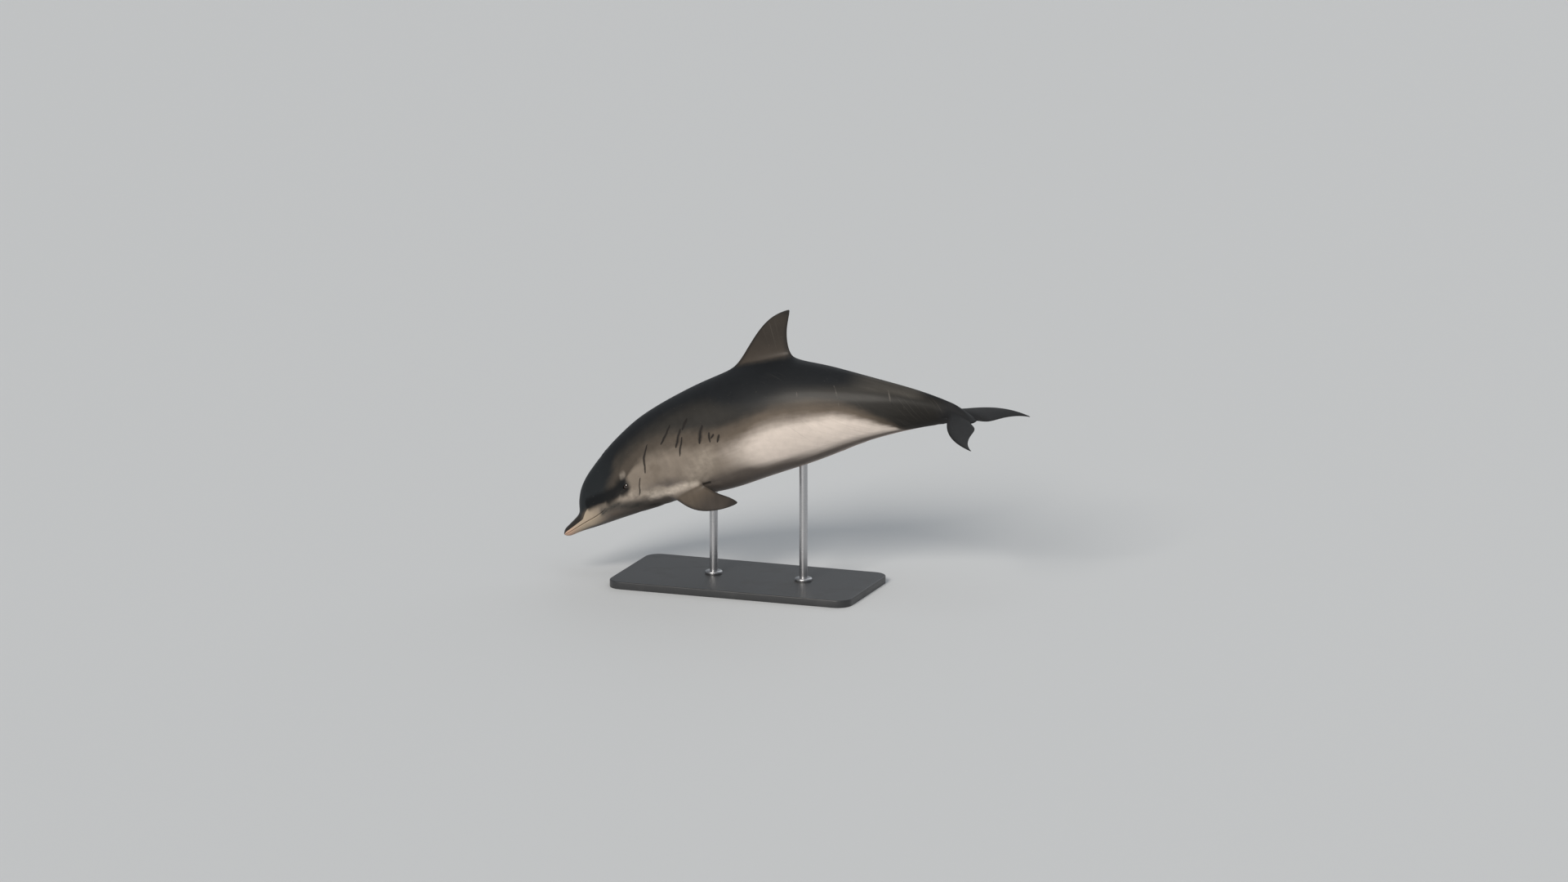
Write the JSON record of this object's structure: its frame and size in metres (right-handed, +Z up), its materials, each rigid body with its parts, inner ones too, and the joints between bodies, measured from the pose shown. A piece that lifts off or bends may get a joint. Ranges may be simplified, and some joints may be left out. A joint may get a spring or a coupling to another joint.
{
  "type": "bottlenose dolphin",
  "caption": "Life-size still model of a leaping bottlenose dolphin, head down with arched back and bent tail, held over a flat display base by upright rods.",
  "frame": {"origin": "centre of the stand base's underside, on the floor", "axes": "-X towards the head, +X towards the tail, -Y the dolphin's left side, +Z up"},
  "size_m": [1.8401, 0.5823, 1.1033],
  "materials": {
    "skin_body": "smooth wet skin, brown-grey flank with a pale belly",
    "skin_dark": "smooth wet skin, dark slate grey",
    "skin_beak": "smooth wet skin, tan lips and dark upper beak",
    "eye": "glossy, very dark brown",
    "stand_steel": "satin",
    "stand_base": "board painted satin charcoal"
  },
  "bodies": {
    "root": {"upper_jaw": "skin_beak", "lower_jaw": "skin_beak", "head": "skin_body", "neck": "skin_body", "chest": "skin_body", "trunk": "skin_body", "tail": "skin_body", "tail_stock": "skin_dark", "dorsal_fin": "skin_dark", "flipper_left": "skin_dark", "flipper_right": "skin_dark", "fluke_left": "skin_dark", "fluke_right": "skin_dark", "eye_left": "eye", "eye_right": "eye", "stand_base": "stand_base", "stand_rod_front": "stand_steel", "stand_rod_rear": "stand_steel", "stand_collar_front": "stand_steel", "stand_collar_rear": "stand_steel"}
  },
  "joints": []
}
